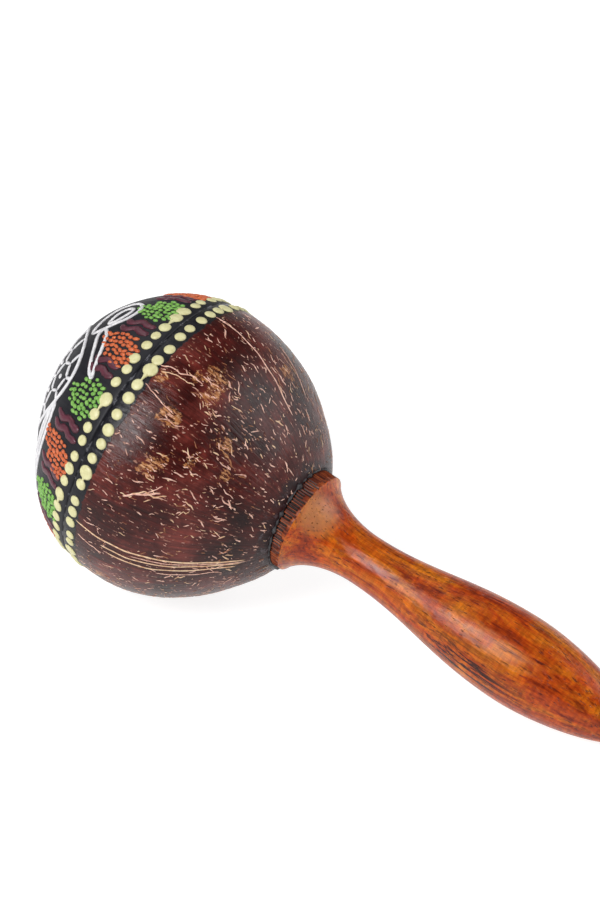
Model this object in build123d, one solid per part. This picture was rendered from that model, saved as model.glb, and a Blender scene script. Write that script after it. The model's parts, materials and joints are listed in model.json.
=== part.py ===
from build123d import *
import math
import os

# A coconut-shell maraca, lying at rest on a table.
# The table is z = 0, +Z is up, the handle points to +X and droops, the crown of the head points to -X.
# Every piece but the seeds is first made upright: the handle's axis is the z axis, z = 0 is level with
# the middle of the head, the crown is above it and the handle below it.  lay() then lays it down.

# Head: a natural coconut shell, slightly flattened, sawn in two, hollowed and glued together again.
head_radius = 44.0        # half of its width, all round
head_short_radius = 40.5  # half of its depth along its own short axis
head_round_angle = 45.0   # degrees each side of its widest circle that the rounder side band takes
head_lean = 22.5          # degrees from the handle's axis to the shell's short axis
head_drop = 2.8           # how far the middle of the head hangs below the handle's axis
nose_height = 1.4         # how much further than its width the head reaches, at its nose by the handle
nose_tightness = 8.0      # how much smaller the nose's radius is than the head's
shell_wall = 3.5
seam_height = 8.9         # middle of the glued seam, from the middle of the head towards the crown
seam_gap = 0.6            # thickness of the glue line
seam_recess = 0.35        # how far the glue lies below the outer surface

# Handle: one turned piece of wood with a cupped seat and a tenon.
rim_radius = 15.25
rim_below_nose = 0.2      # lower edge of the rim's land, from the tip of the nose
waist_radius = 7.43
waist_from_rim = 19.2
belly_radius = 12.95
belly_from_rim = 71.1
butt_from_rim = 106.4
butt_flat_radius = 4.5    # the small sanded face where the lathe centre was
tenon_radius = 6.5
tenon_inside = 7.0        # how far the tenon reaches past the shell's inner surface
tenon_clearance = 0.1     # radial gap for the glue round the tenon

# Filler between the seat of the handle and the shell.
filler_thickness = 0.8
filler_squeeze_out = 0.5  # how far the filler stands past the rim

# Seeds: loose, oblong, one in each upright lane of a hexagonal grid on the lower wall.
seed_length = 5.6
seed_width = 4.6
seed_wall_clearance = 0.45
seed_lane_clearance = 0.5
seed_rings = 3            # rings of lanes round the middle lane
seed_field_shift = -4.0   # the field of seeds lies a little towards the crown

cut_size = 4 * head_radius


def bezier_point(corners, t):
    """The point at t on the cubic curve with these four corners, each a (radius, distance) pair."""
    weights = ((1 - t) ** 3, 3 * t * (1 - t) ** 2, 3 * t * t * (1 - t), t ** 3)
    radius = sum(weight * corner[0] for weight, corner in zip(weights, corners))
    distance = sum(weight * corner[1] for weight, corner in zip(weights, corners))
    return radius, distance


# The nose is a ball of its own below the middle of the head, and the handle is set out from its tip.
nose_reach = head_radius + nose_height
nose_radius = head_radius - nose_tightness
rim_from_head = nose_reach + rim_below_nose
waist_from_head = rim_from_head + waist_from_rim
belly_from_head = rim_from_head + belly_from_rim
butt_from_head = rim_from_head + butt_from_rim

# The turned outline in three stretches: rim to waist, waist to belly, belly to butt.
flare_length = waist_from_head - rim_from_head
swell_length = belly_from_head - waist_from_head
end_length = butt_from_head - belly_from_head
flare_curve = [
    (rim_radius, rim_from_head),
    (rim_radius - 0.67 * (rim_radius - waist_radius), rim_from_head + 0.15 * flare_length),
    (waist_radius, waist_from_head - 0.40 * flare_length),
    (waist_radius, waist_from_head),
]
swell_curve = [
    (waist_radius, waist_from_head),
    (waist_radius, waist_from_head + 0.37 * swell_length),
    (belly_radius, belly_from_head - 0.43 * swell_length),
    (belly_radius, belly_from_head),
]
end_curve = [
    (belly_radius, belly_from_head),
    (belly_radius, belly_from_head + 0.30 * end_length),
    (butt_flat_radius + 0.60 * (belly_radius - butt_flat_radius), butt_from_head - 0.22 * end_length),
    (butt_flat_radius, butt_from_head),
]


# The shell's outline is an oval of arcs: a rounder side arc, whose centre is off the short axis,
# and flatter end arcs, whose centres are on the short axis beyond the middle.
round_angle = math.radians(head_round_angle)
side_centre = (head_radius - head_short_radius) / (1 + math.tan(round_angle) - 1 / math.cos(round_angle))
end_centre = side_centre * math.tan(round_angle)
side_arc_radius = head_radius - side_centre
end_arc_radius = head_short_radius + end_centre


def head_reach(up):
    """How far the head reaches from its middle along a unit (x, z) direction."""
    lean = math.radians(head_lean)
    along = abs(up[1] * math.cos(lean) - up[0] * math.sin(lean))
    across = abs(up[0] * math.cos(lean) + up[1] * math.sin(lean))
    if math.atan2(along, across) < round_angle:
        return side_centre * across + side_arc_radius
    return end_arc_radius - end_centre * along


def head_low(droop):
    """Height of the lowest point of the head over the middle of the head, at this droop."""
    down = (-math.cos(droop), -math.sin(droop))
    return -head_drop * math.cos(droop) - head_reach(down)


def grip_low(droop):
    """Height of the lowest point of the handle over the same level, at this droop."""
    steps = 400
    outline = [bezier_point(curve, step / steps) for curve in (swell_curve, end_curve)
               for step in range(steps + 1)]
    return min(-radius * math.cos(droop) - distance * math.sin(droop) for radius, distance in outline)


def resting_droop():
    """The droop, in radians, at which head and grip touch the table together."""
    low = 0.0
    high = math.radians(45)
    for _ in range(50):
        middle = (low + high) / 2
        if grip_low(middle) > head_low(middle):
            low = middle
        else:
            high = middle
    return (low + high) / 2


droop = resting_droop()
head_middle_height = -head_low(droop)


def lay(shape):
    """Turn an upright piece to the resting pose, with the table at z = 0."""
    return Pos(0, 0, head_middle_height) * Rot(0, math.degrees(droop) - 90, 0) * shape


def head_solid(skin):
    """The head's solid with a skin on it, or less a skin, in its place on the upright maraca."""
    end_turn = 90 - head_round_angle
    lower = CenterArc((0, end_centre), end_arc_radius + skin, -90, end_turn)
    side = CenterArc((side_centre, 0), side_arc_radius + skin, -head_round_angle, 2 * head_round_angle)
    upper = CenterArc((0, -end_centre), end_arc_radius + skin, head_round_angle, end_turn)
    half = make_face([lower, side, upper, Line(upper @ 1, lower @ 0)])
    oval = Rot(0, 0, 90) * revolve(Plane.XZ * half, Axis.Z)
    nose = Pos(0, 0, nose_radius - nose_reach) * Rot(0, 0, 90) * Sphere(nose_radius + skin)
    return Pos(-head_drop, 0, 0) * (Rot(0, -head_lean, 0) * oval + nose)


def slab(low, high):
    """A wide block between two heights."""
    return Pos(0, 0, (low + high) / 2) * Box(cut_size, cut_size, high - low)


def rod(radius, top, bottom):
    """An upright cylinder between two distances below the middle of the head."""
    return Pos(0, 0, -(top + bottom) / 2) * Cylinder(radius, bottom - top)


head_outer = head_solid(0)
head_inner = head_solid(-shell_wall)
tenon_hole = rod(tenon_radius + tenon_clearance, 0, cut_size / 2)


def make_crown_shell():
    return (head_outer - head_inner) & slab(seam_height + seam_gap / 2, cut_size / 2)


def make_base_shell():
    lower = (head_outer - head_inner) & slab(-cut_size / 2, seam_height - seam_gap / 2)
    return lower - tenon_hole


def make_seam_glue():
    ring = head_solid(-seam_recess) - head_inner
    return ring & slab(seam_height - seam_gap / 2, seam_height + seam_gap / 2)


def make_neck_filler():
    skin = head_solid(filler_thickness) - head_outer
    return (skin & rod(rim_radius + filler_squeeze_out, 0, cut_size / 2)) - tenon_hole


def make_handle():
    seat_top = rim_from_head / 2
    points = [(radius, -distance) for radius, distance in flare_curve + swell_curve + end_curve]
    rim_line = Line((rim_radius, -seat_top), points[0])
    flare = Bezier(*points[0:4])
    swell = Bezier(*points[4:8])
    end = Bezier(*points[8:12])
    butt_line = Line(points[11], (0, -butt_from_head))
    axis_line = Line((0, -butt_from_head), (0, -seat_top))
    top_line = Line((0, -seat_top), (rim_radius, -seat_top))
    outline = make_face([rim_line, flare, swell, end, butt_line, axis_line, top_line])
    turned = revolve(Plane.XZ * outline, Axis.Z) - head_solid(filler_thickness)
    tenon_top = nose_reach - shell_wall - tenon_inside
    return turned + rod(tenon_radius, tenon_top, rim_from_head)


def lane_places():
    """Places of the upright lanes from the middle of the seed field, ring by ring."""
    pitch = seed_length + seed_lane_clearance
    places = []
    for row in range(-seed_rings, seed_rings + 1):
        for column in range(-seed_rings, seed_rings + 1):
            if abs(row + column) <= seed_rings:
                places.append((pitch * (column + row / 2), pitch * row * math.sqrt(3) / 2))
    return sorted(places, key=lambda place: (round(math.hypot(*place), 3), math.atan2(place[1], place[0])))


def depth_inside(x, y, z):
    """How deep a point of the laid maraca lies below the head's outer surface."""
    rise = math.radians(head_lean) - droop
    dx = x + head_drop * math.sin(droop)
    dz = z - head_middle_height + head_drop * math.cos(droop)
    along = abs(dx * math.cos(rise) + dz * math.sin(rise))
    across = math.hypot(dz * math.cos(rise) - dx * math.sin(rise), y)
    if math.atan2(along, across - side_centre) < round_angle:
        return side_arc_radius - math.hypot(along, across - side_centre)
    return end_arc_radius - math.hypot(along + end_centre, across)


def lane_end(x, y, far_end):
    """Height in the upright lane at x, y where a seed's middle is stopped by the wall at that end."""
    needed = shell_wall + seed_length / 2 + seed_wall_clearance
    inside = head_middle_height
    outside = far_end
    for _ in range(50):
        middle = (inside + outside) / 2
        if depth_inside(x, y, middle) > needed:
            inside = middle
        else:
            outside = middle
    return inside


def make_seed(number, x, y, height):
    """One oblong seed, turned its own way."""
    tip = seed_length / 2
    fullness = seed_width * 2 / 3
    side = Bezier((0, -tip), (fullness, -tip), (fullness, tip), (0, tip))
    half = make_face([side, Line(side @ 1, side @ 0)])
    turn = Rot(0, 90, 137.5 * number) * Rot(0, 15 * (number % 5), 0)
    return Pos(x, y, height) * turn * revolve(Plane.XZ * half, Axis.Z)


nodes = {
    "crown_shell": lay(make_crown_shell()),
    "base_shell": lay(make_base_shell()),
    "seam_glue": lay(make_seam_glue()),
    "neck_filler": lay(make_neck_filler()),
    "handle": lay(make_handle()),
}
travels = {}
for number, (lane_x, lane_y) in enumerate(lane_places(), start=1):
    seed_x = seed_field_shift + lane_x
    lowest = lane_end(seed_x, lane_y, 0)
    highest = lane_end(seed_x, lane_y, 2 * head_middle_height)
    nodes[f"seed_{number:02d}"] = make_seed(number, seed_x, lane_y, lowest)
    travels[f"seed_{number:02d}"] = highest - lowest

# The origin is on the table below the middle of the whole maraca.
crown_end = nodes["crown_shell"].bounding_box().min.X
butt_end = nodes["handle"].bounding_box().max.X
centring = Pos(-(crown_end + butt_end) / 2, 0, 0)

os.makedirs("parts", exist_ok=True)
for name, shape in nodes.items():
    export_step(centring * shape, f"parts/{name}.step")

butt_face = centring * lay(Pos(0, 0, -butt_from_head))
grip_middle = centring * lay(Pos(0, 0, -belly_from_head))
print("droop, degrees", round(math.degrees(droop), 4))
print("head middle", centring * lay(Pos(-head_drop, 0, 0)))
print("butt face", butt_face)
print("grip middle", grip_middle)
print("length", round(butt_end - crown_end, 3))
print("free travel", {name: round(travel, 3) for name, travel in travels.items()})
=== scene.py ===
import json
import math
import random

import bmesh
import bpy
from mathutils import Matrix, Vector


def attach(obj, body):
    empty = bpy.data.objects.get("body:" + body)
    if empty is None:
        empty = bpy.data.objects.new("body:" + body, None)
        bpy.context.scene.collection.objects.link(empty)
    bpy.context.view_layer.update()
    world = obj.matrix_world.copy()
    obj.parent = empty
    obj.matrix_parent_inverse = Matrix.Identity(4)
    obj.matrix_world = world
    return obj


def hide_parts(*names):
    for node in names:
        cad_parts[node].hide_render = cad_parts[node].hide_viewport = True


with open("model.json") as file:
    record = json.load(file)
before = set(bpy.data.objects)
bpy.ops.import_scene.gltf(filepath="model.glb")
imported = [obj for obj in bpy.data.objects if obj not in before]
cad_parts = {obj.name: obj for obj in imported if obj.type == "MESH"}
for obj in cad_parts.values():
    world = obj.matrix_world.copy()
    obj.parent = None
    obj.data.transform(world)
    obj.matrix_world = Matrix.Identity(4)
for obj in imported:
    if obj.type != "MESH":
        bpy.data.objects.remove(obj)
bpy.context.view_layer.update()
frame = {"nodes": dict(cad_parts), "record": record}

mm = 0.001
dice = random.Random(11)          # one seeded die for everything that varies
bpy.context.scene.view_settings.view_transform = "Standard"

# The maraca's own axes: origin on the handle's axis level with the middle of the head,
# crown is the way the crown faces, top the way that is up across the handle, side completes them.
butt = next(mount for mount in frame["record"]["mounts"] if mount["name"] == "butt_face")
crown = -Vector(butt["axis"]).normalized()
side = Vector((0, 1, 0))
top = side.cross(crown).normalized()

headShape = {
    "radius": 44.0 * mm,
    "shortRadius": 40.5 * mm,
    "leanDegrees": 22.5,
    "dropBelowAxis": 2.8 * mm,
    "roundDegrees": 45.0,
    "wall": 3.5 * mm,
    "seamLevel": 8.9 * mm,
    "seamGroove": 0.16 * mm,
    "neckHole": 6.6 * mm,
    "noseReach": 45.4 * mm,
    "noseRadius": 36.0 * mm,
    "noseBlend": 1.0 * mm,
    # where the natural shell swells or sinks: polar, turn, rise, spread, in degrees and metres
    "swellings": [
        (149, -73, 0.3 * mm, 16),
        (164, -124, 0.3 * mm, 16),
        (149, 164, -0.2 * mm, 15),
        (123, 147, -0.7 * mm, 18),
        (64, 128, 1.0 * mm, 20),
        (30, 106, -1.3 * mm, 16),
        (31, -16, 0.9 * mm, 16),
        (57, -33, 0.3 * mm, 16),
        (99, -47, -0.75 * mm, 18),
        (130, -58, 0.4 * mm, 13),
    ],
}

handleShape = {
    "rimRadius": 15.25 * mm,
    "rimAt": 45.6 * mm,
    "waistRadius": 7.43 * mm,
    "waistAt": 64.8 * mm,
    "bellyRadius": 12.95 * mm,
    "bellyAt": 116.7 * mm,
    "buttRadius": 4.5 * mm,
    "buttAt": 152.0 * mm,
    "tenonRadius": 6.5 * mm,
    "tenonAt": 34.9 * mm,
    "seatGap": 0.35 * mm,
    "notches": 104,
    "notchDepth": 0.70 * mm,
}

axisStart = Vector(butt["pos_m"]) + crown * handleShape["buttAt"]
headMiddle = axisStart - top * headShape["dropBelowAxis"]


def around(degrees):
    # the way out from the axis at this turn: 0 is up, 90 is towards the front
    turn = math.radians(degrees)
    return top * math.cos(turn) - side * math.sin(turn)


lean = math.radians(headShape["leanDegrees"])
shortAxis = crown * math.cos(lean) - top * math.sin(lean)
roundTurn = math.radians(headShape["roundDegrees"])
flatness = headShape["radius"] - headShape["shortRadius"]
sideCentre = flatness / (1 + math.tan(roundTurn) - 1 / math.cos(roundTurn))
endCentre = sideCentre * math.tan(roundTurn)
sideArc = headShape["radius"] - sideCentre
endArc = headShape["shortRadius"] + endCentre
joinTurn = math.atan2(sideArc * math.sin(roundTurn), sideCentre + sideArc * math.cos(roundTurn))
noseMiddle = crown * (headShape["noseRadius"] - headShape["noseReach"])
swellings = [(crown * math.cos(math.radians(polar)) + around(turn) * math.sin(math.radians(polar)),
              rise, math.radians(spread)) for polar, turn, rise, spread in headShape["swellings"]]


def headReach(way):
    # distance from the middle of the head to its surface along a unit vector
    along = abs(way.dot(shortAxis))
    across = math.sqrt(max(0.0, 1 - along * along))
    if math.atan2(along, across) < joinTurn:
        reach = across * sideCentre + math.sqrt((across * sideCentre) ** 2 - sideCentre ** 2 + sideArc ** 2)
    else:
        reach = -along * endCentre + math.sqrt((along * endCentre) ** 2 - endCentre ** 2 + endArc ** 2)
    # the nose by the handle, blended in
    ahead = way.dot(noseMiddle)
    nose = ahead + math.sqrt(ahead ** 2 - noseMiddle.length_squared + headShape["noseRadius"] ** 2)
    reach = (reach + nose + math.sqrt((reach - nose) ** 2 + headShape["noseBlend"] ** 2)) / 2
    for toward, rise, spread in swellings:
        angle = math.acos(max(-1.0, min(1.0, way.dot(toward))))
        reach += rise * math.exp(-(angle / spread) ** 2)
    return reach


def headPoint(polar, turn, lift=0.0):
    # polar is the angle from the crown, turn the angle round the axis, both in degrees
    tilt = math.radians(polar)
    way = crown * math.cos(tilt) + around(turn) * math.sin(tilt)
    return headMiddle + way * (headReach(way) + lift)


def headNormal(polar, turn):
    step = 0.4
    steeper = headPoint(polar + step, turn) - headPoint(polar - step, turn)
    if abs(math.sin(math.radians(polar))) < 0.02:
        return crown.copy() if polar < 90 else -crown
    further = headPoint(polar, turn + step) - headPoint(polar, turn - step)
    normal = steeper.cross(further).normalized()
    return normal if normal.dot(headPoint(polar, turn) - headMiddle) > 0 else -normal


def polarAtLevel(level, turn):
    # the polar angle at which the surface is this far along the axis towards the crown
    low, high = 5.0, 175.0
    for _ in range(30):
        middle = (low + high) / 2
        if (headPoint(middle, turn) - headMiddle).dot(crown) > level:
            low = middle
        else:
            high = middle
    return (low + high) / 2


def polarAtHole(turn):
    # the polar angle at which the surface is this far off the handle's axis, by the neck
    near, far = 150.0, 180.0
    for _ in range(24):
        middle = (near + far) / 2
        offset = headPoint(middle, turn) - axisStart
        if (offset - crown * offset.dot(crown)).length > headShape["neckHole"]:
            near = middle
        else:
            far = middle
    return (near + far) / 2


def shellDepth(out):
    # how far below the middle of the head the shell's surface is, at this offset from the handle's axis
    flat = out + top * headShape["dropBelowAxis"]
    reach = headShape["noseReach"]
    for _ in range(8):
        depth = math.sqrt(max(0.0, reach ** 2 - flat.length_squared))
        reach = headReach((flat - crown * depth).normalized())
    return math.sqrt(max(0.0, reach ** 2 - flat.length_squared))


def toObject(bm, name, materials, smooth=True):
    for face in bm.faces:
        face.smooth = smooth
    mesh = bpy.data.meshes.new(name)
    bm.to_mesh(mesh)
    bm.free()
    for material in materials:
        mesh.materials.append(material)
    piece = bpy.data.objects.new(name, mesh)
    bpy.context.scene.collection.objects.link(piece)
    return piece


def addTo(whole, part):
    # puts one small bmesh into a larger one
    carrier = bpy.data.meshes.new("carrier")
    part.to_mesh(carrier)
    part.free()
    whole.from_mesh(carrier)
    bpy.data.meshes.remove(carrier)


def settle(piece, slot, *nodes):
    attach(piece, "maraca")
    if nodes:
        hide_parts(*nodes)
    return piece


def raisedStroke(whole, path, widths, height, material=0, sides=6):
    # a closed bead of paint or fibre along points and normals, as wide as widths says at each
    bm = bmesh.new()
    ring = []
    for index, ((place, normal), width) in enumerate(zip(path, widths)):
        before = path[max(0, index - 1)][0]
        after = path[min(len(path) - 1, index + 1)][0]
        forward = (after - before).normalized()
        across = normal.cross(forward).normalized()
        if index == 0:
            ring = [bm.verts.new((0, 0, 0)) for _ in range(sides)]
            edges = [bm.edges.new((ring[k], ring[(k + 1) % sides])) for k in range(sides)]
            start = list(edges)
        else:
            grown = bmesh.ops.extrude_edge_only(bm, edges=edges)["geom"]
            fresh = [item for item in grown if isinstance(item, bmesh.types.BMVert)]
            pairs = {}
            for vert in fresh:
                for edge in vert.link_edges:
                    other = edge.other_vert(vert)
                    if other in ring:
                        pairs[other] = vert
            ring = [pairs[vert] for vert in ring]
            edges = [bm.edges.get((ring[k], ring[(k + 1) % sides])) for k in range(sides)]
        for k, vert in enumerate(ring):
            turn = 2 * math.pi * k / sides
            rise = math.sin(turn)
            rise = rise * height * min(1.0, width / (2 * height)) if rise > 0 else rise * height * 0.8
            vert.co = place + across * (math.cos(turn) * width / 2) + normal * rise
    bmesh.ops.contextual_create(bm, geom=start)
    bmesh.ops.contextual_create(bm, geom=edges)
    for face in bm.faces:
        face.material_index = material
    bmesh.ops.recalc_face_normals(bm, faces=bm.faces)
    addTo(whole, bm)


def paintDrop(whole, polar, turn, length, width, height, twist=0.0, material=0, segments=12):
    # one drop of paint: a low dome, longer than wide if need be
    normal = headNormal(polar, turn)
    forward = (headPoint(polar + 0.5, turn) - headPoint(polar - 0.5, turn)).normalized()
    forward = Matrix.Rotation(math.radians(twist), 3, normal) @ forward
    across = normal.cross(forward)
    turned = Matrix((across, forward, normal)).transposed().to_4x4()
    size = Matrix.Diagonal((width / 2, length / 2, height, 1))
    place = Matrix.Translation(headPoint(polar, turn))
    bm = bmesh.new()
    bmesh.ops.create_uvsphere(bm, u_segments=segments, v_segments=6, radius=1.0, matrix=place @ turned @ size)
    for face in bm.faces:
        face.material_index = material
    addTo(whole, bm)


def smoothLine(points, samples=4):
    # pairs of numbers on a smooth line through the given pairs
    line = []
    count = len(points)
    for index in range(count - 1):
        p0, p1 = points[max(0, index - 1)], points[index]
        p2, p3 = points[index + 1], points[min(count - 1, index + 2)]
        for step in range(samples + (1 if index == count - 2 else 0)):
            t = step / samples
            line.append([0.5 * (2 * b + (c - a) * t + (2 * a - 5 * b + 4 * c - d) * t * t
                                + (3 * b - a - 3 * c + d) * t ** 3) for a, b, c, d in zip(p0, p1, p2, p3)])
    return line


def headPath(points, samples=4):
    # a smooth line over the head through (polar, turn) points, as points and normals
    return [(headPoint(*spot), headNormal(*spot)) for spot in smoothLine(points, samples)]


def taper(count, width, ends=0.25):
    # widths along a stroke that narrows to its two ends
    widths = []
    for index in range(count):
        t = index / (count - 1)
        near = min(1.0, min(t, 1 - t) / ends)
        widths.append(width * (0.12 + 0.88 * math.sqrt(max(0.0, 1 - (1 - near) ** 2))))
    return widths


def feed(value, socket):
    # another node's output is linked to the socket, and a number or colour is set on it
    if isinstance(value, bpy.types.NodeSocket):
        socket.id_data.links.new(value, socket)
    elif socket.type == "RGBA":
        socket.default_value = (*value, 1)
    else:
        socket.default_value = value


def addNode(tree, kind, inputs=None, **settings):
    node = tree.nodes.new(kind)
    for name, value in settings.items():
        setattr(node, name, value)
    for key, value in (inputs or {}).items():
        feed(value, node.inputs[key])
    return node


def nodeFrom(kind, inputs, output, **settings):
    # a node fed by others, in the tree that they are in
    tree = next(value.id_data for value in inputs.values() if isinstance(value, bpy.types.NodeSocket))
    return addNode(tree, kind, inputs, **settings).outputs[output]


def makeMaterial(name, build):
    # build gives the surface's values, the height of its relief, its strength and its depth
    material = bpy.data.materials.new(name)
    material.use_nodes = True
    tree = material.node_tree
    surface, height, strength, depth = build(tree)
    shader = tree.nodes["Principled BSDF"]
    bump = nodeFrom("ShaderNodeBump", {"Strength": strength, "Distance": depth, "Height": height}, "Normal")
    for key, value in {**surface, "Normal": bump, "Coat Normal": bump}.items():
        feed(value, shader.inputs[key])
    return material


def objectPlace(tree):
    return addNode(tree, "ShaderNodeTexCoord").outputs["Object"]


def maracaPlace(tree, stretch=(1, 1, 1)):
    # the object's coordinates turned so that z runs along the handle's axis, from the head's middle
    turned = Matrix((top, side, crown)).to_4x4() @ Matrix.Translation(-headMiddle)
    inputs = {"Vector": objectPlace(tree), "Location": turned.to_translation(), "Rotation": turned.to_euler()}
    return vectorOf("MULTIPLY", nodeFrom("ShaderNodeMapping", inputs, "Vector", vector_type="POINT"), stretch)


def vectorOf(operation, *values, output="Vector"):
    return nodeFrom("ShaderNodeVectorMath", dict(enumerate(values)), output, operation=operation)


def mathOf(operation, *values):
    return nodeFrom("ShaderNodeMath", dict(enumerate(values)), 0, operation=operation)


def plus(first, second):
    return mathOf("ADD", first, second)


def times(first, second):
    return mathOf("MULTIPLY", first, second)


def noiseFrom(place, scale, detail=4.0, roughness=0.6, distortion=0.0, output="Fac"):
    inputs = {"Vector": place, "Scale": scale, "Detail": detail, "Roughness": roughness,
              "Distortion": distortion}
    return nodeFrom("ShaderNodeTexNoise", inputs, output)


def rampFrom(value, stops):
    # colours at places along the value
    result = nodeFrom("ShaderNodeValToRGB", {"Fac": value}, "Color")
    elements = result.node.color_ramp.elements
    elements.remove(elements[1])
    for index, (place, colour) in enumerate(stops):
        element = elements[0] if index == 0 else elements.new(place)
        element.position = place
        element.color = (*colour, 1)
    return result


def rangeFrom(value, low, high, newLow=0.0, newHigh=1.0, kind="LINEAR"):
    inputs = {"Value": value, "From Min": low, "From Max": high, "To Min": newLow, "To Max": newHigh}
    return nodeFrom("ShaderNodeMapRange", inputs, "Result", interpolation_type=kind)


def stepFrom(value, low, high):
    return rangeFrom(value, low, high, kind="SMOOTHSTEP")


def mixOf(share, first, second, blend="MIX"):
    inputs = {"Factor": share, 6: first, 7: second}
    return nodeFrom("ShaderNodeMix", inputs, 2, data_type="RGBA", blend_type=blend)


def partOf(place, axis):
    return nodeFrom("ShaderNodeSeparateXYZ", {0: place}, axis)


def distanceFrom(place, spot):
    return vectorOf("DISTANCE", place, spot, output="Value")


def acrossOnly(place):
    # the place with nothing left of its way along the axis
    return vectorOf("MULTIPLY", place, (1, 1, 0))


def shellPlace(tree, along):
    # coordinates that run round the head and from its crown to its neck, for streaks along the meridians
    place = maracaPlace(tree)
    way = vectorOf("NORMALIZE", acrossOnly(place))
    polar = mathOf("ARCCOSINE", partOf(vectorOf("NORMALIZE", place), 2))
    radius = headShape["radius"]
    parts = [times(partOf(way, 0), radius), times(partOf(way, 1), radius), times(polar, radius * along)]
    return nodeFrom("ShaderNodeCombineXYZ", dict(enumerate(parts)), 0)


def seamGlints(place):
    # painted highlights: pale grey glints painted along the two lips of the glued seam, where the gloss would
    # catch the light
    away = mathOf("ABSOLUTE", mathOf("SUBTRACT", partOf(place, 2), headShape["seamLevel"]))
    glintSpots = stepFrom(noiseFrom(place, 330, 4, 0.65), 0.54, 0.64)
    return times(stepFrom(away, 0.55 * mm, 0.20 * mm), glintSpots)


shellLook = {
    "deep": (0.015, 0.0010, 0.0008),
    "middle": (0.050, 0.0048, 0.0034),
    "light": (0.135, 0.024, 0.018),
    "husk": (0.20, 0.050, 0.014),
    "amber": (0.46, 0.19, 0.065),
    "paleHusk": (0.66, 0.40, 0.22),
    "fleck": (0.48, 0.24, 0.17),
    "paintEdge": 3.7 * mm,
    "paint": (0.005, 0.005, 0.008),
    # painted highlight: the grey of the glints painted along the seam's lips
    "seamGlint": (0.16, 0.16, 0.18),
    "patchRaggedness": 11 * mm,
    # husk left on in patches: polar, turn, radius in millimetres
    "patches": [
        (103, 14, 3.8), (106, 21, 2.4), (98.7, 37, 3.2), (102, 57, 2.6), (105, 53, 1.8), (98, 18, 2.0),
        (114, 47, 1.6), (129, 44, 1.7), (122, 33, 2.4), (88.5, 27, 2.0), (100, 200, 4.2), (112, 150, 3.0),
        (105, 255, 3.6), (125, 300, 3.0), (118, -22, 2.4), (96, 120, 2.6), (132, 215, 2.6),
    ],
}


def huskPatches(place):
    # one inside any of the patches, with ragged edges
    ragged = shellLook["patchRaggedness"]
    pushed = vectorOf("MULTIPLY_ADD", noiseFrom(place, 330, 5, 0.7, output="Color"), (ragged,) * 3, place)
    within = 0.0
    for polar, turn, radius in shellLook["patches"]:
        offset = headPoint(polar, turn) - headMiddle
        middle = tuple(offset.dot(axis) + ragged / 2 for axis in (top, side, crown))
        inside = stepFrom(distanceFrom(pushed, middle), radius * 1.10 * mm, radius * 0.78 * mm)
        within = mathOf("MAXIMUM", inside, within)
    return within


def shellSurface(tree):
    place = maracaPlace(tree)
    mottle = noiseFrom(place, 62, 7, 0.66)
    streaks = noiseFrom(shellPlace(tree, 0.07), 850, 5, 0.7, 0.25)
    fine = noiseFrom(shellPlace(tree, 0.12), 2300, 3, 0.6)
    shades = [(0.36, shellLook["deep"]), (0.51, shellLook["middle"]), (0.66, shellLook["light"])]
    ground = rampFrom(mottle, shades)
    lines = rampFrom(streaks, [(0.32, (0.35, 0.30, 0.30)), (0.52, (1, 1, 1)), (0.72, (1.9, 1.6, 1.5))])
    ground = mixOf(0.85, ground, lines, "MULTIPLY")
    # amber patches where the husk is left, each broken up along the fibres
    stray = times(stepFrom(noiseFrom(place, 210, 6, 0.75, 0.5), 0.62, 0.70), 0.7)
    torn = stepFrom(noiseFrom(shellPlace(tree, 0.35), 900, 6, 0.8), 0.46, 0.53)
    patches = times(mathOf("MAXIMUM", huskPatches(place), stray), torn)
    shades = [(0.35, shellLook["husk"]), (0.50, shellLook["amber"]), (0.68, shellLook["paleHusk"])]
    husk = rampFrom(fine, shades)
    ground = mixOf(times(patches, 0.9), ground, husk)
    # very small flecks between the large ones
    specks = stepFrom(noiseFrom(shellPlace(tree, 0.45), 1250, 2, 0.5), 0.655, 0.70)
    ground = mixOf(times(specks, 0.6), ground, shellLook["fleck"])
    # the shell darker round the neck, next to the handle, and grey glue smears there
    level = partOf(place, 2)
    offAxis = distanceFrom(acrossOnly(place), (headShape["dropBelowAxis"], 0, 0))
    uneven = rangeFrom(noiseFrom(place, 240, 4), 0.3, 0.7, -2.2 * mm, 2.2 * mm)
    neck = stepFrom(plus(offAxis, uneven), 20.5 * mm, 16.8 * mm)
    neck = times(neck, stepFrom(level, -20 * mm, -30 * mm))
    ground = mixOf(times(neck, 0.75), ground, (0.010, 0.005, 0.007))
    smears = times(neck, stepFrom(noiseFrom(place, 520, 5, 0.7, 0.4), 0.55, 0.68))
    ground = mixOf(times(smears, 0.5), ground, (0.17, 0.14, 0.16))
    # black paint over the seam
    wander = rangeFrom(noiseFrom(place, 420, 2), 0.3, 0.7, -0.5 * mm, 0.5 * mm)
    edge = shellLook["paintEdge"]
    painted = stepFrom(plus(level, wander), edge, edge + 0.12 * mm)
    brushed = rampFrom(streaks, [(0.4, shellLook["paint"]), (0.8, (0.014, 0.014, 0.019))])
    # painted highlights: grey glints along the seam's lips, over the black paint
    brushed = mixOf(seamGlints(place), brushed, shellLook["seamGlint"])
    colour = mixOf(painted, ground, brushed)
    dull = plus(rangeFrom(streaks, 0.3, 0.7, 0.30, 0.44), times(patches, 0.3))
    relief = plus(plus(times(streaks, 0.9), times(fine, 0.3)), plus(times(mottle, 0.8), times(painted, 0.4)))
    surface = {"Base Color": colour, "Roughness": dull, "Specular IOR Level": 0.03,
               "Coat Weight": 0.48, "Coat Roughness": 0.23}
    return surface, relief, 0.8, 0.32 * mm


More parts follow.
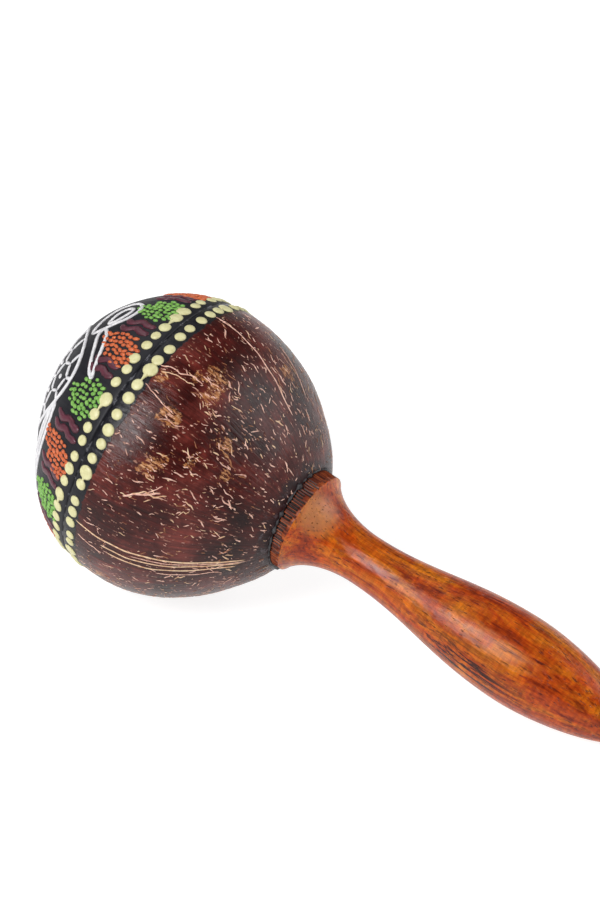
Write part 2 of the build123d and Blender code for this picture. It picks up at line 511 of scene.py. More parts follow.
def blackSurface(tree):
    place = maracaPlace(tree)
    brush = noiseFrom(shellPlace(tree, 0.2), 900, 4)
    worn = noiseFrom(place, 380, 5, 0.7)
    colour = rampFrom(brush, [(0.35, shellLook["paint"]), (0.75, (0.013, 0.013, 0.018))])
    worn = times(stepFrom(worn, 0.62, 0.76), 0.5)
    colour = mixOf(worn, colour, (0.040, 0.038, 0.042))
    # painted highlights: grey glints along the seam's lips, over the black paint
    colour = mixOf(seamGlints(place), colour, shellLook["seamGlint"])
    dull = rangeFrom(brush, 0.3, 0.7, 0.42, 0.60)
    return {"Base Color": colour, "Roughness": dull, "Specular IOR Level": 0.28}, brush, 0.5, 0.10 * mm


def makePaint(name, light, dark, roughness=0.42):
    def build(tree):
        place = maracaPlace(tree)
        colour = rampFrom(noiseFrom(place, 700, 4, 0.65), [(0.32, dark), (0.60, light)])
        grain = noiseFrom(place, 3200, 3)
        dull = rangeFrom(grain, 0.3, 0.7, roughness - 0.08, roughness + 0.10)
        return {"Base Color": colour, "Roughness": dull}, grain, 0.25, 0.05 * mm
    return makeMaterial(name, build)


woodLook = {
    "amber": (0.50, 0.135, 0.006),
    "orange": (0.37, 0.047, 0.002),
    "red": (0.17, 0.013, 0.002),
    "dark": (0.045, 0.006, 0.002),
    "black": (0.012, 0.005, 0.004),
    "rasped": (0.12, 0.018, 0.007),
    "raspedEdge": (0.40, 0.090, 0.022),
    "sheen": (0.42, 0.19, 0.085),
}


def nearSpot(tree, spot, flatten, outer, inner):
    # one within inner of a spot given in the maraca's own axes from the head's middle, none beyond outer
    away = distanceFrom(maracaPlace(tree, (1, 1, flatten)), (spot[0], spot[1], spot[2] * flatten))
    return stepFrom(away, outer, inner)


def onGrip(radius, turn, distance):
    # a spot on the handle for nearSpot
    angle = math.radians(turn)
    return (radius * math.cos(angle) + headShape["dropBelowAxis"], -radius * math.sin(angle), -distance)


def woodSurface(tree):
    blotch = noiseFrom(maracaPlace(tree, (1, 1, 0.30)), 150, 5, 0.68, 0.5)
    grain = noiseFrom(maracaPlace(tree, (1, 1, 0.07)), 1000, 6, 0.72, 0.25)
    shades = [(0.31, woodLook["red"]), (0.44, woodLook["orange"]), (0.61, woodLook["amber"])]
    ground = rampFrom(blotch, shades)
    lines = rampFrom(grain, [(0.34, (0.30, 0.18, 0.16)), (0.50, (1, 1, 1)), (0.70, (1.45, 1.5, 1.4))])
    ground = mixOf(0.85, ground, lines, "MULTIPLY")
    # a faint ripple figure across the grain, as turned wood shows; its shimmer is painted in as lighter and
    # darker bands
    ripple = noiseFrom(maracaPlace(tree, (0.22, 0.22, 1)), 900, 3)
    rippleShimmer = rampFrom(ripple, [(0.38, (0.66, 0.58, 0.5)), (0.62, (1.3, 1.3, 1.25))])
    ground = mixOf(0.55, ground, rippleShimmer, "MULTIPLY")
    # painted sheen: the top of the flare, by the rim, made paler as a highlight there would
    flareSheen = nearSpot(tree, onGrip(12 * mm, 28, 49 * mm), 1.0, 8.5 * mm, 2.5 * mm)
    ground = mixOf(times(flareSheen, 0.65), ground, woodLook["sheen"])
    # open pores: short dark dashes along the grain
    pores = stepFrom(noiseFrom(maracaPlace(tree, (1, 1, 0.14)), 1700, 2, 0.5), 0.635, 0.685)
    ground = mixOf(times(pores, 0.75), ground, woodLook["dark"])
    # dark heartwood streaks on the lower front of the grip, fainter ones further up
    streaks = stepFrom(noiseFrom(maracaPlace(tree, (1, 1, 0.03)), 900, 5, 0.75), 0.50, 0.57)
    near = nearSpot(tree, onGrip(11 * mm, 96, 106 * mm), 0.30, 8.5 * mm, 3.0 * mm)
    high = nearSpot(tree, onGrip(9 * mm, 20, 88 * mm), 0.30, 9.0 * mm, 2.0 * mm)
    heart = plus(times(near, 0.95), times(high, 0.35))
    ground = mixOf(times(streaks, heart), ground, woodLook["black"])
    surface = {"Base Color": ground, "Roughness": rangeFrom(grain, 0.3, 0.7, 0.46, 0.32),
               "Specular IOR Level": 0.02, "Coat Weight": 0.52, "Coat Roughness": 0.11}
    return surface, mathOf("SUBTRACT", plus(grain, times(ripple, 0.35)), pores), 0.8, 0.22 * mm


def raspedSurface(tree):
    # the notched land of the rim, darker and with less lacquer, and darker still towards the hollows of its
    # notches, black at the deepest
    grain = noiseFrom(maracaPlace(tree, (1, 1, 0.12)), 900, 5, 0.7)
    shades = [(0.33, woodLook["dark"]), (0.46, woodLook["rasped"]), (0.64, woodLook["raspedEdge"])]
    ground = rampFrom(grain, shades)
    hollow = addNode(tree, "ShaderNodeAttribute", attribute_name="hollow").outputs["Fac"]
    ground = mixOf(stepFrom(hollow, 0.10, 0.75), ground, woodLook["black"])
    dull = rangeFrom(grain, 0.3, 0.7, 0.50, 0.34)
    return {"Base Color": ground, "Roughness": dull, "Specular IOR Level": 0.22}, grain, 0.5, 0.12 * mm


def fillerSurface(tree):
    lumps = noiseFrom(maracaPlace(tree), 900, 5, 0.7)
    shades = [(0.42, (0.012, 0.010, 0.012)), (0.62, (0.05, 0.046, 0.05)), (0.76, (0.22, 0.20, 0.19))]
    return {"Base Color": rampFrom(lumps, shades), "Roughness": 0.55}, lumps, 0.7, 0.2 * mm


def seedSurface(tree):
    place = objectPlace(tree)
    blotch = noiseFrom(place, 600)
    colour = rampFrom(blotch, [(0.3, (0.10, 0.045, 0.02)), (0.7, (0.28, 0.15, 0.07))])
    surface = {"Base Color": colour, "Roughness": rangeFrom(blotch, 0.3, 0.7, 0.45, 0.65)}
    return surface, noiseFrom(place, 2500, 3), 0.4, 0.1 * mm


coconut = makeMaterial("coconutShell", shellSurface)
blackPaint = makeMaterial("blackPaint", blackSurface)
stainedWood = makeMaterial("stainedWood", woodSurface)
raspedWood = makeMaterial("raspedWood", raspedSurface)
fillerStuff = makeMaterial("neckFiller", fillerSurface)
seedStuff = makeMaterial("drySeed", seedSurface)
creamPaint = makePaint("creamPaint", (0.66, 0.63, 0.35), (0.55, 0.51, 0.25))
whitePaint = makePaint("whitePaint", (0.76, 0.75, 0.76), (0.58, 0.57, 0.60))
greenPaint = makePaint("greenPaint", (0.21, 0.44, 0.085), (0.10, 0.29, 0.036))
orangePaint = makePaint("orangePaint", (0.60, 0.135, 0.036), (0.42, 0.065, 0.016))
maroonPaint = makePaint("maroonPaint", (0.105, 0.018, 0.035), (0.055, 0.009, 0.018))
paleFibre = makePaint("paleFibre", (0.86, 0.56, 0.45), (0.46, 0.19, 0.13), 0.5)
goldFibre = makePaint("goldFibre", (0.84, 0.60, 0.39), (0.58, 0.30, 0.15), 0.5)
amberFibre = makePaint("amberFibre", (0.34, 0.13, 0.045), (0.17, 0.045, 0.018), 0.5)
print("materials made")


def wallSection(polarFrom, polarTo, steps):
    # a closed loop of (polar, lift) round the wall's section
    outer = [(polarFrom + (polarTo - polarFrom) * k / steps, 0.0) for k in range(steps + 1)]
    inner = [(polar, -headShape["wall"]) for polar, _ in reversed(outer)]
    return outer + inner


def makeHalfShell(name, seamSide, material, segments=288):
    # spun round the axis as a plain ring, then every point is set on the natural shell
    isCrown = seamSide > 0
    steps = 84
    bm = bmesh.new()
    section = wallSection(0.0, 1.0, steps)
    shares = bm.verts.layers.float.new("share")
    lifts = bm.verts.layers.float.new("lift")
    verts = [bm.verts.new((1.0 + lift, 0.0, -share)) for share, lift in section]
    edges = [bm.edges.new((verts[k], verts[k + 1])) for k in range(len(verts) - 1)]
    if not isCrown:
        edges.append(bm.edges.new((verts[-1], verts[0])))
    for vert, (share, lift) in zip(verts, section):
        vert[shares] = share
        vert[lifts] = lift
    bmesh.ops.spin(bm, geom=verts + edges, cent=(0, 0, 0), axis=(0, 0, 1), angle=2 * math.pi,
                   steps=segments, use_merge=True, use_duplicate=False)
    groove = headShape["seamGroove"]
    ends = {}
    for vert in bm.verts:
        turn = math.degrees(math.atan2(-vert.co.y, vert.co.x))
        key = round(turn, 3)
        if key not in ends:
            lip = headShape["seamLevel"] + seamSide * groove / 2
            ends[key] = (polarAtLevel(lip, turn), polarAtHole(turn))
        seam, holePolar = ends[key]
        share = vert[shares]
        if isCrown:
            polar = 0.35 + (seam - 0.35) * share
        else:
            polar = seam + (holePolar - seam) * share
        sink = 0.10 * mm * math.exp(-abs(polar - seam) * 2.2) if vert[lifts] == 0 else 0.0
        vert.co = headPoint(polar, turn, vert[lifts] - sink)
    if isCrown:
        poles = [edge for edge in bm.edges if edge.is_boundary]
        bmesh.ops.holes_fill(bm, edges=poles, sides=0)
    bmesh.ops.recalc_face_normals(bm, faces=bm.faces)
    return toObject(bm, name, [material])


settle(makeHalfShell("crownSkin", 1, blackPaint), "painted_shell", "crown_shell")
settle(makeHalfShell("baseSkin", -1, coconut), "coconut_shell", "base_shell")
print("half-shells made")


dotRows = {
    "levels": (11.9 * mm, 5.9 * mm),
    "count": 57,
    "size": 3.45 * mm,
    "height": 0.55 * mm,
    "tailEvery": 7,
    "tail": (0.94, 0.86, 0.62, 0.36, 0.22, 0.16, 0.22, 0.40, 0.5),    # its width, as shares of the dot's
}


def makeDots():
    bm = bmesh.new()
    pitch = 360 / dotRows["count"]
    for row, level in enumerate(dotRows["levels"]):
        spots = []
        for index in range(dotRows["count"]):
            turn = index * pitch + dice.uniform(-0.16, 0.16) * pitch + row * 2.0
            wobble = dice.uniform(-0.35, 0.35) * mm
            spots.append((polarAtLevel(level + wobble, turn), turn))
        for index, (polar, turn) in enumerate(spots):
            tailed = (index + 3 * row) % dotRows["tailEvery"] == 0
            size = dotRows["size"] * (1.22 if tailed else dice.uniform(0.88, 1.06))
            paintDrop(bm, polar, turn, size * dice.uniform(0.94, 1.10), size, dotRows["height"],
                      dice.uniform(-20, 20), segments=16)
            if tailed:
                nextPolar, nextTurn = spots[(index + 1) % len(spots)]
                if nextTurn < turn:
                    nextTurn += 360
                between = ((polar + nextPolar) / 2, (turn + nextTurn) / 2)
                path = headPath([(polar, turn), between, (nextPolar, nextTurn)])
                raisedStroke(bm, path, [size * share for share in dotRows["tail"]], dotRows["height"] * 0.8)
    return toObject(bm, "creamDots", [creamPaint])


settle(makeDots(), "painted_shell")
print("dots made")


motifs = {
    "repeats": 7,
    "firstGreen": 48.5,
    "dropHeight": 0.40 * mm,
    # each row of a cluster: polar, then half its width in degrees round the axis
    "greenRows": [(56.5, 1.5), (58.9, 3.4), (61.3, 5.2), (63.7, 6.4), (66.1, 7.4), (68.5, 7.6),
                  (70.8, 6.2), (72.6, 3.8)],
    "orangeRows": [(54.0, 1.6), (56.4, 2.8), (58.8, 4.0), (61.2, 5.2), (63.6, 6.0), (66.0, 6.2), (68.4, 6.0),
                   (70.7, 5.2), (72.4, 3.0)],
}


def makeCluster(bm, centre, rows, length, width, slant):
    for number, (polar, halfWidth) in enumerate(rows):
        spacing = 2.0 / math.sin(math.radians(polar))
        count = max(1, round(2 * halfWidth / spacing) + 1)
        for column in range(count):
            turn = centre + (column - (count - 1) / 2) * spacing + slant * (polar - 64)
            turn += (0.25 if number % 2 else -0.25) * spacing + dice.uniform(-0.35, 0.35)
            paintDrop(bm, polar + dice.uniform(-0.4, 0.4), turn, length * dice.uniform(0.82, 1.22),
                      width * dice.uniform(0.85, 1.15), motifs["dropHeight"], dice.uniform(-30, 30), segments=8)


def makeClusters():
    green = bmesh.new()
    orange = bmesh.new()
    maroon = bmesh.new()
    period = 360 / motifs["repeats"]
    for repeat in range(motifs["repeats"]):
        centre = motifs["firstGreen"] + repeat * period
        makeCluster(green, centre, motifs["greenRows"], 1.75 * mm, 1.22 * mm, 0.0)
        makeCluster(orange, centre - period / 2 + 0.5, motifs["orangeRows"], 1.95 * mm, 1.22 * mm, 0.35)
        for middle in (-0.29 * period, 0.27 * period):
            for offset in (-2.3, 2.1):
                turn = centre + middle + offset
                points = [(57.0 + dice.uniform(-1.5, 1), turn - 1.2), (60.5, turn + 0.9), (64.5, turn - 0.8),
                          (68.3, turn + 0.7), (72.0 + dice.uniform(-1.0, 0.8), turn + 0.4)]
                path = headPath(points, 4)
                widths = [w * dice.uniform(0.85, 1.12) for w in taper(len(path), 2.3 * mm, 0.22)]
                raisedStroke(maroon, path, widths, 0.32 * mm)
    settle(toObject(green, "greenDrops", [greenPaint]), "painted_shell")
    settle(toObject(orange, "orangeDrops", [orangePaint]), "painted_shell")
    settle(toObject(maroon, "maroonStrokes", [maroonPaint]), "painted_shell")


makeClusters()
print("clusters made")


turtle = {
    "turned": -52.6,              # which way its right side faces, round the axis
    "bodyMiddle": (-6.0, 6.0),    # degrees over the crown: across and along its body
    "halfWidth": 26.0,
    "halfLength": 46.0,
    "scuteWidth": 12.5,
    "scuteRow": 9.0,
    "line": 1.2 * mm,
    "height": 0.38 * mm,
}


def crownSpot(across, along):
    # polar and turn of a place given in degrees across and along the turtle, over the crown
    return math.hypot(across, along), turtle["turned"] + math.degrees(math.atan2(along, across))


def crownLine(bm, spots, width, closed=False, ends=0.08):
    # a white line through (across, along) spots
    loop = list(spots) + (list(spots[:2]) if closed else [])
    fine = [crownSpot(*spot) for spot in smoothLine(loop)]
    path = [(headPoint(*spot), headNormal(*spot)) for spot in fine]
    widths = [w * dice.uniform(0.86, 1.12) for w in taper(len(path), width, ends)]
    raisedStroke(bm, path, widths, turtle["height"])


def inBody(spot, share=1.0):
    across = (spot[0] - turtle["bodyMiddle"][0]) / turtle["halfWidth"]
    along = (spot[1] - turtle["bodyMiddle"][1]) / turtle["halfLength"]
    return math.hypot(across, along) < share


def makeScutes(bm):
    # a net of six-sided scutes, each with a dot, cut off at the edge of the body
    middle = turtle["bodyMiddle"]
    halfStep = turtle["scuteWidth"] / 2
    row = turtle["scuteRow"]
    drawn = set()
    for rowNumber in range(-6, 7):
        for column in range(-3, 4):
            shift = 0.5 if rowNumber % 2 else 0
            across = middle[0] + (column + shift) * turtle["scuteWidth"] - 0.25 * halfStep
            along = middle[1] + rowNumber * row
            if inBody((across, along), 0.88):
                paintDrop(bm, *crownSpot(across, along), 2.1 * mm, 1.5 * mm, turtle["height"],
                          dice.uniform(-30, 30), segments=10)
            corners = [(across, along + row * 0.66), (across + halfStep, along + row * 0.34),
                       (across + halfStep, along - row * 0.34), (across, along - row * 0.66),
                       (across - halfStep, along - row * 0.34), (across - halfStep, along + row * 0.34)]
            for start, end in zip(corners, corners[1:] + corners[:1]):
                key = (round((start[0] + end[0]), 1), round((start[1] + end[1]), 1))
                if key in drawn or not (inBody(start) or inBody(end)):
                    continue
                drawn.add(key)
                if not inBody(start):
                    start, end = end, start
                while not inBody(end):
                    end = (start[0] + (end[0] - start[0]) * 0.93, start[1] + (end[1] - start[1]) * 0.93)
                    if math.hypot(end[0] - start[0], end[1] - start[1]) < 0.8:
                        break
                if math.hypot(end[0] - start[0], end[1] - start[1]) > 1.5:
                    crownLine(bm, [start, end], turtle["line"] * 0.9)


def makeTurtle():
    bm = bmesh.new()
    line = turtle["line"]
    middle = turtle["bodyMiddle"]
    edge = [(middle[0] + turtle["halfWidth"] * math.cos(math.radians(15 * k)),
             middle[1] + turtle["halfLength"] * math.sin(math.radians(15 * k))) for k in range(24)]
    crownLine(bm, edge, line * 1.25, closed=True, ends=0.01)
    makeScutes(bm)
    # limbs at its tail end, and the same again mirrored at its head end
    for flip in (1, -1):
        def limb(spots, width, closed=False):
            turned = [(across, along if flip == 1 else 2 * middle[1] - along) for across, along in spots]
            crownLine(bm, turned, width, closed)
        limb([(14, 41), (22, 36), (31, 33), (36.5, 35), (38, 40), (34.5, 46), (28, 48.5), (20, 46), (14, 42)],
             line * 1.1)
        limb([(22, 43.5), (27, 40), (32, 39), (34, 41.5), (31, 44.5), (25, 45.5)], line, True)
        limb([(19.1, 46.2), (17, 51.2), (10.9, 56.5), (4.6, 59.8), (-1.7, 62.5), (-3.4, 62.8), (-1.2, 60),
              (3.4, 56.9), (9.6, 52.1), (15.5, 46.5)], line * 1.15, True)
        limb([(-19, 47.5), (-27, 45.5), (-36, 39.5), (-44, 30), (-50, 18), (-52, 11), (-46.5, 20), (-40, 28),
              (-33, 35.5), (-26, 41)], line * 1.15, True)
        limb([(-22, 45), (-30, 41), (-38, 34), (-45, 25)], line * 0.9)
    head = [(3, -39), (6, -48), (4, -57), (-5, -61), (-14, -57), (-16, -48), (-13, -39)]
    crownLine(bm, head, line * 1.2)
    for across in (-9, -1):
        paintDrop(bm, *crownSpot(across, -54), 1.3 * mm, 1.3 * mm, turtle["height"], segments=8)
    settle(toObject(bm, "whiteLines", [whitePaint]), "painted_shell")


makeTurtle()
print("turtle drawn")


fleckLook = {
    "count": 1900,
    "polars": (86, 160),
    # share of the flecks, length from and to, width from and to, how much they curl
    "sizes": [
        (0.62, 0.35 * mm, 1.1 * mm, 0.16 * mm, 0.34 * mm, 0.20),
        (0.29, 1.0 * mm, 2.3 * mm, 0.20 * mm, 0.42 * mm, 0.28),
        (0.09, 2.2 * mm, 4.6 * mm, 0.26 * mm, 0.50 * mm, 0.30),
    ],
    "height": 0.07 * mm,
    # tufts of them: polar, turn, how many, spread in degrees
    "tufts": [
        (103, 15, 26, 4.0), (107, 21, 22, 4.0), (99, 37, 18, 3.2), (103, 56, 16, 3.5), (112, 20, 22, 6),
        (118, 32, 26, 6), (125, 24, 26, 6), (114, 47, 12, 4), (129, 45, 16, 5),
        (118, 66, 20, 6), (132, 62, 16, 6), (140, 88, 14, 6),
        (100, 200, 30, 6), (115, 150, 30, 6), (108, 250, 26, 6), (130, 300, 26, 7), (118, -20, 22, 7),
    ],
}


def makeFlecks():
    bm = bmesh.new()
    low, high = (math.cos(math.radians(polar)) for polar in fleckLook["polars"])
    jobs = []
    for _ in range(fleckLook["count"]):
        polar = math.degrees(math.acos(dice.uniform(high, low)))
        jobs.append((polar, dice.uniform(-180, 180), dice.choice((0, 0, 0, 0, 1, 2))))
    for polar, turn, count, spread in fleckLook["tufts"]:
        for _ in range(count):
            spot = (polar + dice.gauss(0, spread * 0.5), turn + dice.gauss(0, spread))
            jobs.append((*spot, dice.choice((0, 0, 1, 2, 2))))
    for polar, turn, material in jobs:
        if not fleckLook["polars"][0] - 1 < polar < fleckLook["polars"][1]:
            continue
        pick = dice.random()
        for share, shortest, longest, thinnest, widest, curl in fleckLook["sizes"]:
            pick -= share
            if pick < 0:
                break
        length = dice.uniform(shortest, longest)
        width = dice.uniform(thinnest, widest)
        heading = math.radians(dice.gauss(4, 24))
        reach = math.degrees(length / headShape["radius"])
        bend = dice.gauss(0, curl) * reach
        twist = dice.gauss(0, curl * 0.22) * reach
        rim = math.sin(math.radians(polar))
        points = []
        for share in (-0.5, -0.15, 0.2, 0.5):
            sideways = math.sin(heading) * share * reach + bend * (0.25 - share * share)
            sideways += twist * math.sin(6 * share)
            points.append((polar + math.cos(heading) * share * reach, turn + sideways / rim))
        path = headPath(points, 1 if length < 1.2 * mm else 2)
        widths = [w * dice.uniform(0.65, 1.2) for w in taper(len(path), width, 0.5)]
        raisedStroke(bm, path, widths, fleckLook["height"], material, sides=4)
    return toObject(bm, "huskFlecks", [paleFibre, goldFibre, amberFibre])


settle(makeFlecks(), "coconut_shell")
print("flecks made")


fibreLook = {
    "height": 0.12 * mm,
    # each long fibre: its points as (polar, turn), its width, its material
    "fibres": [
        ([(84, -12), (100, -11.5), (118, -10.5), (133, -9)], 0.45 * mm, 0),
        ([(84, 23), (88, 21), (92, 21.5), (97, 19), (101, 19.5)], 0.40 * mm, 0),
        ([(86, 25), (90, 23), (95, 22.5), (99, 22)], 0.28 * mm, 1),
        ([(84, 32), (89, 33), (94, 34.5), (99, 35.5)], 0.30 * mm, 0),
        ([(96, 40), (99, 38), (102, 39), (105, 37)], 0.26 * mm, 0),
        ([(106, -31), (116, -31.5), (128, -30)], 0.40 * mm, 0),
        ([(98.5, 71.5), (102, 69), (106, 67), (110.5, 64)], 0.62 * mm, 0),
        ([(101, 69.5), (105, 66), (109, 66.5), (113, 64)], 0.40 * mm, 1),
        ([(104, 68), (108, 64), (110, 61)], 0.34 * mm, 0),
        ([(84, 93), (100, 94.5), (118, 95), (136, 95.5), (151, 95)], 0.55 * mm, 1),
        ([(96, 97.5), (112, 98.5), (130, 98.5), (150, 98)], 0.44 * mm, 1),
        ([(99, 100), (116, 101.5), (132, 101.5), (148, 101)], 0.48 * mm, 1),
        ([(108, 96.8), (122, 97), (140, 97), (152, 97)], 0.30 * mm, 0),
        ([(86, 99), (92, 100.5), (97, 101.5)], 0.30 * mm, 0),
        ([(118, 104), (130, 105), (142, 105)], 0.28 * mm, 0),
        ([(95, 160), (110, 163), (126, 162)], 0.42 * mm, 0),
        ([(90, 215), (108, 212), (130, 214), (148, 213)], 0.42 * mm, 1),
        ([(92, 218), (112, 216), (134, 217)], 0.34 * mm, 1),
        ([(100, -75), (118, -73), (138, -74)], 0.40 * mm, 0),
        ([(90, -110), (104, -113), (120, -112)], 0.45 * mm, 1),
    ],
}


def makeFibres():
    bm = bmesh.new()
    for points, width, material in fibreLook["fibres"]:
        fuller = []
        for start, end in zip(points, points[1:]):
            for k in range(3):
                share = k / 3
                fuller.append((start[0] + (end[0] - start[0]) * share, start[1] + (end[1] - start[1]) * share
                               + dice.uniform(-0.28, 0.28)))
        fuller.append(points[-1])
        path = headPath(fuller, 3)
        widths = [w * dice.uniform(0.7, 1.15) for w in taper(len(path), width, 0.15)]
        raisedStroke(bm, path, widths, fibreLook["height"], material)
    return toObject(bm, "longFibres", [paleFibre, goldFibre])


settle(makeFibres(), "coconut_shell")
print("fibres made")


def curvePoints(corners, steps):
    # points on a cubic curve, each corner a (radius, distance) pair
    points = []
    for step in range(steps):
        t = step / steps
        shares = ((1 - t) ** 3, 3 * t * (1 - t) ** 2, 3 * t * t * (1 - t), t ** 3)
        points.append(tuple(sum(share * corner[k] for share, corner in zip(shares, corners)) for k in (0, 1)))
    return points


def handleOutline():
    # radius, distance, and how the point is set out: "fixed", "seat" on the shell, or its share of the land
    s = handleShape
    flare = s["waistAt"] - s["rimAt"]
    swell = s["bellyAt"] - s["waistAt"]
    end = s["buttAt"] - s["bellyAt"]
    rimDrop = s["rimRadius"] - s["waistRadius"]
    roundOff = s["bellyRadius"] - s["buttRadius"]
    points = [(0.0, s["tenonAt"], "fixed"), (s["tenonRadius"], s["tenonAt"], "fixed")]
    seats = 8
    span = s["rimRadius"] - s["tenonRadius"]
    points += [(s["tenonRadius"] + span * k / seats, 0.0, "seat") for k in range(seats)]
    landSteps = 16
    points += [(s["rimRadius"], 0.0, (k + 1) / landSteps) for k in range(-1, landSteps - 1)]
    rim, waist = (s["rimRadius"], s["rimAt"]), (s["waistRadius"], s["waistAt"])
    belly, tail = (s["bellyRadius"], s["bellyAt"]), (s["buttRadius"], s["buttAt"])
    curves = curvePoints([rim, (rim[0] - 0.67 * rimDrop, rim[1] + 0.15 * flare),
                          (waist[0], waist[1] - 0.40 * flare), waist], 48)
    curves += curvePoints([waist, (waist[0], waist[1] + 0.37 * swell),
                           (belly[0], belly[1] - 0.43 * swell), belly], 44)
    curves += curvePoints([belly, (belly[0], belly[1] + 0.30 * end),
                           (tail[0] + 0.60 * roundOff, tail[1] - 0.22 * end), tail], 32)
    curves += [tail, (tail[0] * 0.9, tail[1]), (0.0, tail[1])]
    return points + [(radius, distance, "fixed") for radius, distance in curves]


def makeHandle():
    bm = bmesh.new()
    s = handleShape
    outline = handleOutline()
    kinds = bm.verts.layers.float.new("kind")
    hollows = bm.verts.layers.float.new("hollow")
    verts = []
    for number, (radius, distance, kind) in enumerate(outline):
        # while it is spun the outline is spread out, so that no two points are merged by mistake
        below = distance if kind == "fixed" else s["tenonAt"] + 0.2 * mm * number
        vert = bm.verts.new((radius, 0, -below))
        vert[kinds] = {"fixed": -2.0, "seat": -1.0}.get(kind, kind)
        verts.append(vert)
    edges = [bm.edges.new((verts[k], verts[k + 1])) for k in range(len(verts) - 1)]
    bmesh.ops.spin(bm, geom=verts + edges, cent=(0, 0, 0), axis=(0, 0, 1), angle=2 * math.pi,
                   steps=4 * s["notches"], use_merge=True, use_duplicate=False)
    bmesh.ops.remove_doubles(bm, verts=bm.verts, dist=0.5e-6)
    lengths = [dice.uniform(0.62, 1.05) for _ in range(s["notches"])]
    depths = [dice.uniform(0.45, 1.15) for _ in range(s["notches"])]
    seats = {}
    for vert in bm.verts:
        radius = math.hypot(vert.co.x, vert.co.y)
        turn = math.degrees(math.atan2(vert.co.y, vert.co.x)) % 360
        out = around(turn)
        distance = -vert.co.z
        kind = vert[kinds]
        cut = 0.0
        if kind > -1.5:
            key = (round(radius * 1e5), round(turn, 2))
            if key not in seats:
                seats[key] = shellDepth(out * radius) + s["seatGap"]
            distance = seats[key]
        if kind >= 0.0:
            distance += (s["rimAt"] - distance) * kind
            place = turn / 360 * s["notches"]
            number = int(place) % s["notches"]
            fade = max(0.0, min(1.0, (lengths[number] - kind) / 0.10))
            hollow = depths[number] * math.sin(math.pi * (place - int(place))) * fade
            vert[hollows] = hollow
            cut = s["notchDepth"] * hollow
        elif kind < -1.5 and s["rimAt"] <= distance < s["rimAt"] + 2.0 * mm:
            # the turned edge of the rim is a little uneven
            cut = 0.10 * mm * (1 + math.sin(math.radians(turn) * 5 + 1))
            cut *= 1 - (distance - s["rimAt"]) / (2.0 * mm)
        vert.co = axisStart + out * (radius - cut) - crown * distance
    for face in bm.faces:
        if all(vert[kinds] >= 0.0 for vert in face.verts):
            face.material_index = 1
    bmesh.ops.recalc_face_normals(bm, faces=bm.faces)
    return toObject(bm, "turnedHandle", [stainedWood, raspedWood])


settle(makeHandle(), "stained_wood", "handle")
print("handle made")


fillerLook = {
    "size": 0.32 * mm,
    "unevenness": 0.34 * mm,
    "blobTurn": 148,              # where a drop of glue ran out, round the axis
    "blobSize": 0.9 * mm,
}


def makeFiller():
    bm = bmesh.new()
    segments = 360
    sections = 10
    turns = [2 * math.pi * k / sections for k in range(sections)]
    ring = [bm.verts.new((1.0 + 0.1 * math.cos(turn), 0, 0.1 * math.sin(turn))) for turn in turns]
    edges = [bm.edges.new((ring[k], ring[(k + 1) % sections])) for k in range(sections)]
    bmesh.ops.spin(bm, geom=ring + edges, cent=(0, 0, 0), axis=(0, 0, 1), angle=2 * math.pi, steps=segments,
                   use_merge=True, use_duplicate=False)
    waves = [(dice.randint(5, 40), dice.uniform(0, 2 * math.pi)) for _ in range(9)]
    for vert in bm.verts:
        turn = math.atan2(vert.co.y, vert.co.x)
        section = math.atan2(vert.co.z, math.hypot(vert.co.x, vert.co.y) - 1.0)
        out = around(math.degrees(turn))
        uneven = sum(math.sin(number * turn + phase) for number, phase in waves) / 3
        size = fillerLook["size"] + fillerLook["unevenness"] * max(-0.8, uneven)
        away = (math.degrees(turn) - fillerLook["blobTurn"] + 180) % 360 - 180
        size += fillerLook["blobSize"] * math.exp(-(away / 7) ** 2)
        radius = handleShape["rimRadius"] + 0.10 * mm
        middle = axisStart + out * radius - crown * (shellDepth(out * radius) + 0.10 * mm)
        vert.co = middle + out * (size * math.cos(section)) + crown * (size * 0.9 * math.sin(section))
    bmesh.ops.recalc_face_normals(bm, faces=bm.faces)
    return toObject(bm, "fillerRing", [fillerStuff])


settle(makeFiller(), "neck_filler", "neck_filler")
nodeMaterials = {
    "crown_shell": blackPaint,
    "base_shell": coconut,
    "seam_glue": blackPaint,
    "handle": stainedWood,
    "neck_filler": fillerStuff,
}
for name, node in frame["nodes"].items():
    node.data.materials.clear()
    node.data.materials.append(nodeMaterials.get(name, seedStuff))
print("filler made, every node given its material")


view = {
    "azimuth": 33.05,
    "elevation": 34.67,
    "distance": 0.8,
    "lens": 110.83,
    "aimRight": 34.58 * mm,       # what the camera looks at, from the middle of the head
    "aimUp": -0.68 * mm,
}

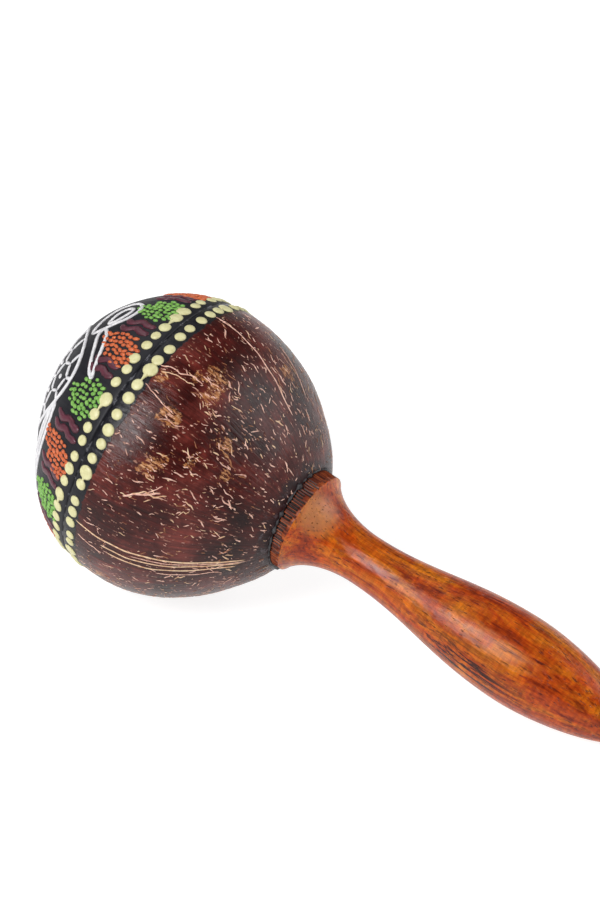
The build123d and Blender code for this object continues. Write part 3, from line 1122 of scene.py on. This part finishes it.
stage = {
    # the way to each light from the head (right, up and back of the camera), distance, size, power
    "softBoxes": [
        ((-0.51, 0.23, 0.83), 1.3, (0.44, 0.44), 15),
        ((0.90, 0.38, 0.20), 1.3, (1.0, 0.8), 10),
        ((-0.35, 0.90, 0.10), 1.6, (1.4, 1.0), 7),
    ],
    "roomStrength": 0.13,
    "floorDark": (0.30, 0.30, 0.30),
    "floorLight": (0.33, 0.33, 0.33),
    "floorGlow": 0.84,
}


def floorSurface(tree):
    cloud = noiseFrom(objectPlace(tree), 6, 3)
    colour = rampFrom(cloud, [(0.3, stage["floorDark"]), (0.7, stage["floorLight"])])
    surface = {"Base Color": colour, "Roughness": 0.9, "Specular IOR Level": 0.1,
               "Emission Color": (1, 1, 1), "Emission Strength": stage["floorGlow"]}
    return surface, cloud, 0.05, 0.1 * mm


def makeStage():
    turn = math.radians(view["azimuth"])
    tilt = math.radians(view["elevation"])
    back = Vector((math.sin(turn) * math.cos(tilt), -math.cos(turn) * math.cos(tilt), math.sin(tilt)))
    right = Vector((math.cos(turn), math.sin(turn), 0))
    up = back.cross(right)
    camera = bpy.data.objects.new("camera", bpy.data.cameras.new("camera"))
    bpy.context.scene.collection.objects.link(camera)
    camera.matrix_world = Matrix.Translation(
        headMiddle + right * view["aimRight"] + up * view["aimUp"] + back * view["distance"]
    ) @ Matrix((right, up, back)).transposed().to_4x4()
    camera.data.lens = view["lens"]
    camera.data.sensor_width = 36
    camera.data.clip_start = 0.01
    bpy.context.scene.camera = camera

    for number, (shares, distance, size, power) in enumerate(stage["softBoxes"], start=1):
        way = right * shares[0] + up * shares[1] + back * shares[2]
        light = bpy.data.lights.new(f"softBox{number}", "AREA")
        light.shape = "RECTANGLE"
        light.size, light.size_y = size
        light.energy = power
        lamp = bpy.data.objects.new(f"softBox{number}", light)
        bpy.context.scene.collection.objects.link(lamp)
        lamp.location = headMiddle + way.normalized() * distance
        lamp.rotation_euler = way.to_track_quat("Z", "Y").to_euler()

    world = bpy.data.worlds.new("paleRoom")
    bpy.context.scene.world = world
    world.use_nodes = True
    background = world.node_tree.nodes["Background"]
    feed((1, 1, 1), background.inputs["Color"])
    feed(stage["roomStrength"], background.inputs["Strength"])

    bm = bmesh.new()
    bmesh.ops.create_grid(bm, x_segments=1, y_segments=1, size=3.0)
    floor = toObject(bm, "floor", [makeMaterial("paleFloor", floorSurface)], smooth=False)


makeStage()
print("stage set")
